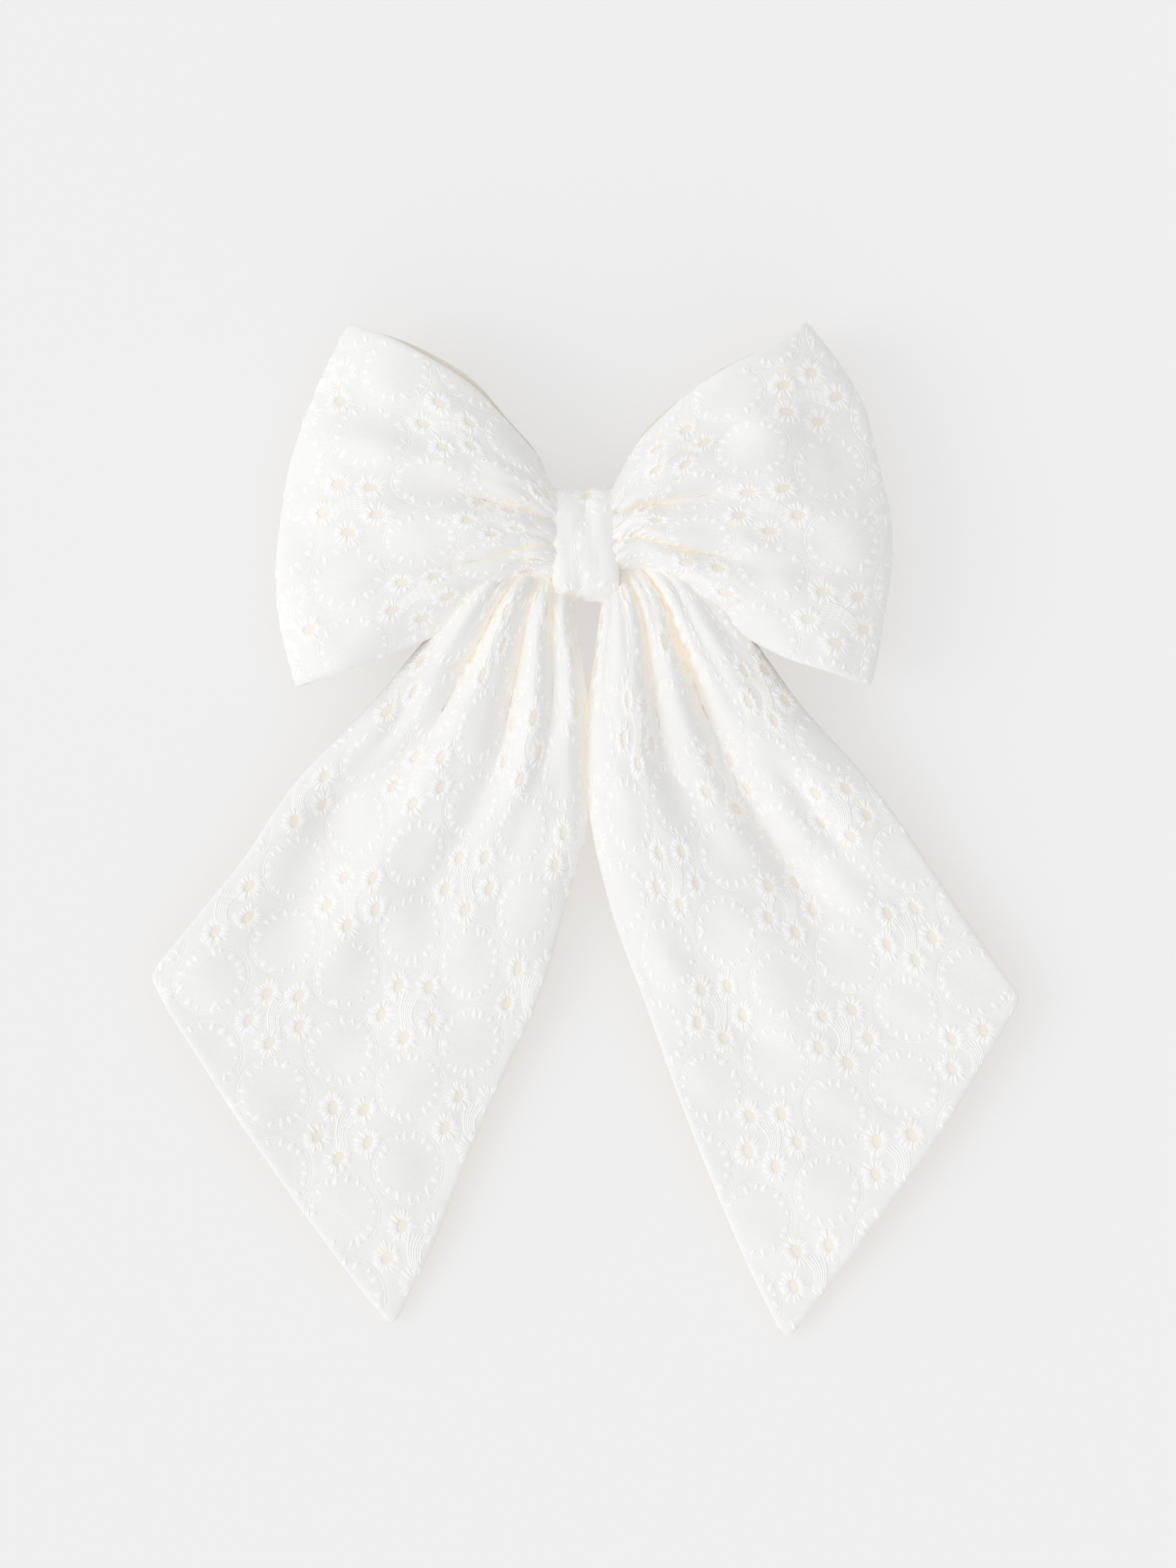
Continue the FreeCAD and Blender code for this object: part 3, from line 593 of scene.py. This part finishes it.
# A stitch is a low dome: places along it, how full it is there, and its section as (sideways, up).
ALONG = np.array([0.0, 0.16, 0.5, 0.84, 1.0])
FULL = np.array([0.40, 0.88, 1.0, 0.88, 0.40])
SECTION = np.array([(-1.0, 0.0), (-0.62, 0.78), (0.0, 1.0), (0.62, 0.78), (1.0, 0.0)])


def stitch_mesh(name, strip, rows, material, layer=1):
    """All of a strip's stitches as small raised domes that follow its surface."""
    starts, ends = rows[:, 0:2], rows[:, 2:4]
    way = ends - starts
    length = np.maximum(np.linalg.norm(way, axis=1), 1e-6)
    sideways = np.stack([-way[:, 1], way[:, 0]], axis=-1) / length[:, None]
    place = starts[:, None, :] + way[:, None, :] * ALONG[None, :, None]
    width = (rows[:, 4, None] * (1 - ALONG) + rows[:, 5, None] * ALONG) * FULL
    flat = place[:, :, None, :] + sideways[:, None, None, :] * (width[:, :, None] * SECTION[:, 0])[..., None]
    lift = rows[:, 6, None, None] * FULL[None, :, None] * SECTION[:, 1] - 0.03
    s, t = flat[..., 0].ravel(), flat[..., 1].ravel()
    points = strip.raised(s, t, layer * lift.ravel(), layer)
    n, rings, sides = lift.shape
    quads = grid_faces(rings, sides, flipped=strip.side * layer > 0)
    faces = (np.arange(n) * rings * sides)[:, None, None] + quads[None]
    return make_object(name, points, faces.reshape(-1, 4).tolist(), material, np.column_stack([s, t]))


# ---- Materials -------------------------------------------------------------------------------------------
class Nodes:
    """Short hand for building a material's nodes."""

    def __init__(self, name):
        self.material = bpy.data.materials.new(name)
        self.material.use_nodes = True
        self.tree = self.material.node_tree
        self.tree.nodes.clear()

    def add(self, kind, values=None, **settings):
        node = self.tree.nodes.new("ShaderNode" + kind)
        for key, value in settings.items():
            setattr(node, key, value)
        for key, value in (values or {}).items():
            if isinstance(value, bpy.types.NodeSocket):
                self.tree.links.new(value, node.inputs[key])
            else:
                node.inputs[key].default_value = value
        return node

    def math(self, operation, a, b=0.0):
        node = self.add("Math", {0: a, 1: b}, operation=operation)
        return node.outputs[0]

    def cloth_light(self, colour):
        """Painted cream tint and painted glow of the folds: the colour, and the inputs of the glow."""
        open_sky = self.add("AmbientOcclusion", {"Distance": 0.007}, samples=6).outputs["AO"]
        # Painted fold light: where little open sky reaches a point, its colour is turned towards the fold
        # cream.
        folded = self.math("SUBTRACT", 1.0, open_sky)
        tint = self.math("MULTIPLY", folded, 0.85)
        tinted = self.add("Mix", {0: tint, 6: colour, 7: (*PAINTED_FOLD_CREAM, 1)}, data_type="RGBA").outputs[2]
        # Painted glow: the cloth emits light in its deep folds.
        glow = self.math("MULTIPLY", self.math("POWER", folded, 2.2), PAINTED_GLOW_POWER)
        return tinted, {"Emission Color": (*PAINTED_GLOW_COLOUR, 1), "Emission Strength": glow}

    def output(self, shader):
        self.add("OutputMaterial", {"Surface": shader})
        return self.material


def cotton(name, light, warm, bump):
    """Plain-weave cotton: crossing threads, slubs, a soft fuzz and a faint unevenness of colour."""
    n = Nodes(name)
    cloth = n.add("Attribute", attribute_name="cloth").outputs["Vector"]
    drift = n.add("TexNoise", {"Vector": cloth, "Scale": 0.30, "Detail": 3.0}).outputs["Color"]
    parts = n.add("SeparateXYZ", {0: n.add("VectorMath", {0: cloth, 1: drift}, operation="ADD").outputs[0]})
    waves = [n.math("SINE", n.math("MULTIPLY", parts.outputs[axis], math.pi / pitch))
             for axis, pitch in zip(("X", "Y"), WEAVE)]
    crossing = n.math("MULTIPLY", waves[0], waves[1])
    gaps = n.math("MULTIPLY", n.math("ABSOLUTE", waves[0]), n.math("ABSOLUTE", waves[1]))
    drawn = n.add("Mapping", {"Vector": cloth, "Scale": (0.5, 2.4, 1)}).outputs[0]
    slub = n.add("TexNoise", {"Vector": drawn, "Scale": 0.8, "Detail": 4.0}).outputs["Fac"]
    fuzz = n.add("TexNoise", {"Vector": cloth, "Scale": 2.6, "Detail": 5.0, "Roughness": 0.75}).outputs["Fac"]
    height = n.math("ADD", n.math("MULTIPLY", crossing, 0.45), n.math("MULTIPLY", gaps, 0.7))
    grain = n.math("ADD", n.math("MULTIPLY", slub, 0.35), n.math("MULTIPLY", fuzz, 0.9))
    height = n.math("ADD", height, grain)
    relief = n.add("Bump", {"Height": height, "Strength": bump, "Distance": 0.00012}).outputs["Normal"]
    tone = n.add("TexNoise", {"Vector": cloth, "Scale": 0.09, "Detail": 2.0}).outputs["Fac"]
    # Painted shade: the colour goes towards the warm one in the gaps between the threads; the noise adds
    # random tone.
    threads = n.math("MULTIPLY", n.math("SUBTRACT", 1.0, gaps), 0.5)
    share = n.math("ADD", n.math("MULTIPLY", tone, 0.25), threads)
    colour = n.add("Mix", {0: share, 6: (*light, 1), 7: (*warm, 1)}, data_type="RGBA").outputs[2]
    # Painted light: the fold cream and the fold glow are added here.
    colour, glow = n.cloth_light(colour)
    rough = n.math("ADD", n.math("MULTIPLY", fuzz, 0.12), 0.80)
    skin = n.add("BsdfPrincipled", {"Base Color": colour, "Roughness": rough, "Normal": relief,
                                    "Sheen Weight": 0.15, "Sheen Roughness": 0.5, "Specular IOR Level": 0.2,
                                    **glow})
    return n.output(skin.outputs[0])


def thread(name, light, warm):
    """Mercerised cotton thread: soft gloss and a fine twist."""
    n = Nodes(name)
    place = n.add("TexCoord").outputs["Object"]
    twist = n.add("TexNoise", {"Vector": place, "Scale": 4200.0, "Detail": 2.0}).outputs["Fac"]
    tone = n.add("TexNoise", {"Vector": place, "Scale": 160.0}).outputs["Fac"]
    colour = n.add("Mix", {0: tone, 6: (*light, 1), 7: (*warm, 1)}, data_type="RGBA").outputs[2]
    # Painted light: the fold cream and the fold glow are added here.
    colour, glow = n.cloth_light(colour)
    relief = n.add("Bump", {"Height": twist, "Strength": 0.6, "Distance": 0.0001}).outputs["Normal"]
    rough = n.math("ADD", n.math("MULTIPLY", twist, 0.2), 0.6)
    skin = n.add("BsdfPrincipled", {"Base Color": colour, "Roughness": rough, "Normal": relief,
                                    "Sheen Weight": 0.15, "Specular IOR Level": 0.2, **glow})
    return n.output(skin.outputs[0])


def plated(name, colour, rough, brush):
    """Plated or rolled steel with fine brushing along X and faint smears."""
    n = Nodes(name)
    place = n.add("TexCoord").outputs["Object"]
    brushed = n.add("Mapping", {"Vector": place, "Scale": (60, 2600, 2600)}).outputs[0]
    lines = n.add("TexNoise", {"Vector": brushed, "Scale": 1.0, "Detail": 3.0}).outputs["Fac"]
    smear = n.add("TexNoise", {"Vector": place, "Scale": 190.0, "Detail": 4.0}).outputs["Fac"]
    shade = n.add("Mix", {0: smear, 6: (*colour, 1), 7: (*[c * 0.86 for c in colour], 1)}, data_type="RGBA")
    wear = n.math("ADD", n.math("MULTIPLY", smear, 0.14), n.math("MULTIPLY", lines, brush))
    relief = n.add("Bump", {"Height": lines, "Strength": 0.25, "Distance": 0.00003}).outputs["Normal"]
    skin = n.add("BsdfPrincipled", {"Base Color": shade.outputs[2], "Metallic": 1.0, "Normal": relief,
                                    "Roughness": n.math("ADD", wear, rough)})
    return n.output(skin.outputs[0])


def table_top():
    """Pale table that isn't there for a camera behind it, so that the bow's back can be looked at."""
    n = Nodes("table_top")
    eye = n.add("VectorTransform", {0: (0, 0, 0)}, vector_type="POINT", convert_from="CAMERA",
                convert_to="WORLD")
    behind = n.math("GREATER_THAN", n.add("SeparateXYZ", {0: eye.outputs[0]}).outputs["Y"], -0.08)
    # Painted shade: close to the cloth the table's glow turns tan, for the shadow the cloth casts there.
    near = n.math("SUBTRACT", 1.0, n.add("AmbientOcclusion", {"Distance": 0.016}, samples=8).outputs["AO"])
    glow = n.add("Mix", {0: near, 6: (*TABLE_OPEN, 1), 7: (*TABLE_SHADE, 1)}, data_type="RGBA").outputs[2]
    skin = n.add("BsdfPrincipled", {"Base Color": (*TABLE_BASE, 1), "Roughness": 0.9,
                                    "Specular IOR Level": 0.1, "Emission Color": glow,
                                    "Emission Strength": TABLE_GLOW})
    clear = n.add("BsdfTransparent")
    return n.output(n.add("MixShader", {0: behind, 1: skin.outputs[0], 2: clear.outputs[0]}).outputs[0])


FACE = cotton("eyelet_cotton", (0.942, 0.940, 0.938), (0.908, 0.896, 0.880), 0.5)
LINING = cotton("lining_cotton", (0.955, 0.925, 0.875), (0.90, 0.85, 0.775), 0.45)
SATIN = thread("embroidery_thread", (0.955, 0.956, 0.960), (0.925, 0.920, 0.910))
SEWING = thread("sewing_thread", (0.94, 0.93, 0.91), (0.90, 0.88, 0.84))
STEEL = plated("nickel_plate", (0.72, 0.71, 0.69), 0.14, 0.16)
SPRING = plated("spring_steel", (0.56, 0.57, 0.59), 0.24, 0.20)


# ---- Pieces ----------------------------------------------------------------------------------------------
def hang(piece, bodies):
    """Lets a piece ride on one body; given two, at the tails' top, it is left on no body, its place baked into
    its mesh.
    """
    if len(bodies) == 1:
        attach(piece, bodies[0])
    else:
        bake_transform(piece)


def dress(strip, name, origin, twist, tilt, bodies, replaced, lining_node):
    """Face, lining and embroidery of one strip, riding on its body, or left on no body when it has two."""
    rows = embroider(strip, origin, twist, tilt, strip.seed + 100)
    face = face_sheet(name + "_face_cloth", strip, FACE)
    lining = lining_sheets(name + "_lining_cloth", strip, LINING)
    satin = stitch_mesh(name + "_embroidery", strip, rows, SATIN)
    for piece in (face, lining, satin):
        hang(piece, bodies)
    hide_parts(*replaced)
    if lining_node:
        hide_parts(lining_node)


def seam_run(strip, body):
    """Running stitches that close a tail, just inside its outer, end and inner edges, on the lining side."""
    inset, pitch, half, first = 1.1, 2.4, strip.WIDTH / 2, 34
    runs = []
    for t in (-half + inset, half - inset):
        places = np.arange(first, float(strip.end(np.array(t))) - 3, pitch)
        runs.append(np.column_stack([places, np.full(len(places), t)]))
    across = np.arange(-half + 3, half - 3, pitch)
    runs.append(np.column_stack([strip.end(across) - inset * 1.2, across]))
    rows = []
    for run in runs:
        way = np.gradient(run, axis=0) * 0.34
        rows.append(stitch_rows(run - way, run + way, 0.16, 0.16, 0.22))
    piece = stitch_mesh(body + "_seam_stitches", strip, np.concatenate(rows), SEWING, layer=-1)
    hang(piece, ["bow", body])
    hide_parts(body + "_seam_thread")


dress(LEFT_LOOP, "left_loop", (18.0, -1.0), 0.0, -0.31, ["bow"], ["band_face"], "band_lining")
dress(RIGHT_LOOP, "right_loop", (23.0, 26.0), 0.0, -0.31, ["bow"], ["band_face"], "band_lining")
dress(LEFT_TAIL, "left_tail", (7.0, 40.0), 0.0, -0.37, ["bow", "left_tail"],
      ["left_tail_face", "tail_gather"], "left_tail_lining")
dress(RIGHT_TAIL, "right_tail", (5.0, 38.0), -0.087, -0.28, ["bow", "right_tail"],
      ["right_tail_face", "tail_gather"], "right_tail_lining")
seam_run(LEFT_TAIL, "left_tail")
seam_run(RIGHT_TAIL, "right_tail")
dress(WRAP, "knot_wrap", (46.5, -3.0), 0.0, math.pi, ["bow"], ["knot_wrap"], None)

CARRIED = {
    SEWING: ("gathering_thread", "wrap_seam_stitches"),
    STEEL: ("barrette_base", "catch_foot", "hinge_pin", "clasp_arm", "upper_catch_wing", "lower_catch_wing"),
    SPRING: ("tension_bar",),
}
for material, nodes in CARRIED.items():
    for node in nodes:
        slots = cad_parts[node].data.materials
        slots.clear()
        slots.append(material)

# ---- Table, light and camera -----------------------------------------------------------------------------
scene = bpy.context.scene
table_y = HAIR_Y * MM + TABLE_GAP
corners = [(-1, -1), (1, -1), (1, 1), (-1, 1)]
table_mesh = bpy.data.meshes.new("table")
table_mesh.from_pydata([(x * TABLE_REACH, table_y, z * TABLE_REACH) for x, z in corners], [], [(0, 1, 2, 3)])
table_mesh.materials.append(table_top())
table = bpy.data.objects.new("table", table_mesh)
scene.collection.objects.link(table)

window_data = bpy.data.lights.new("window", "SUN")
window_data.energy, window_data.angle = WINDOW_POWER, WINDOW_SPREAD
window = bpy.data.objects.new("window", window_data)
window.rotation_mode = "QUATERNION"
window.rotation_quaternion = Vector(WINDOW_FROM).to_track_quat("Z", "Y")
scene.collection.objects.link(window)

world = bpy.data.worlds.new("studio")
world.use_nodes = True
sky = world.node_tree.nodes["Background"]
sky.inputs["Color"].default_value = (0.995, 0.997, 1.0, 1)
# The sky's strength is SKY_POWER * (1 + SKY_LEAN * (direction . SKY_FROM)).
nodes, links = world.node_tree.nodes, world.node_tree.links
direction = nodes.new("ShaderNodeTexCoord")
toward = nodes.new("ShaderNodeVectorMath")
toward.operation = "DOT_PRODUCT"
toward.inputs[1].default_value = [SKY_LEAN * part for part in SKY_FROM]
power = nodes.new("ShaderNodeMath")
power.operation = "MULTIPLY_ADD"
power.inputs[1].default_value = SKY_POWER
power.inputs[2].default_value = SKY_POWER
links.new(direction.outputs["Generated"], toward.inputs[0])
links.new(toward.outputs["Value"], power.inputs[0])
links.new(power.outputs[0], sky.inputs["Strength"])
scene.world = world
scene.view_settings.view_transform = "Standard"
scene.cycles.diffuse_bounces = 10

camera_data = bpy.data.cameras.new("camera")
camera_data.sensor_width = SENSOR
camera_data.lens = SENSOR * VIEW_DISTANCE / VIEW_HEIGHT
camera = bpy.data.objects.new("camera", camera_data)
camera.location = (VIEW_CENTRE[0], (BAND_LOW[1] + HAIR_Y) / 2 * MM - VIEW_DISTANCE, VIEW_CENTRE[1])
camera.rotation_euler = (math.pi / 2, 0, 0)
scene.collection.objects.link(camera)
scene.camera = camera
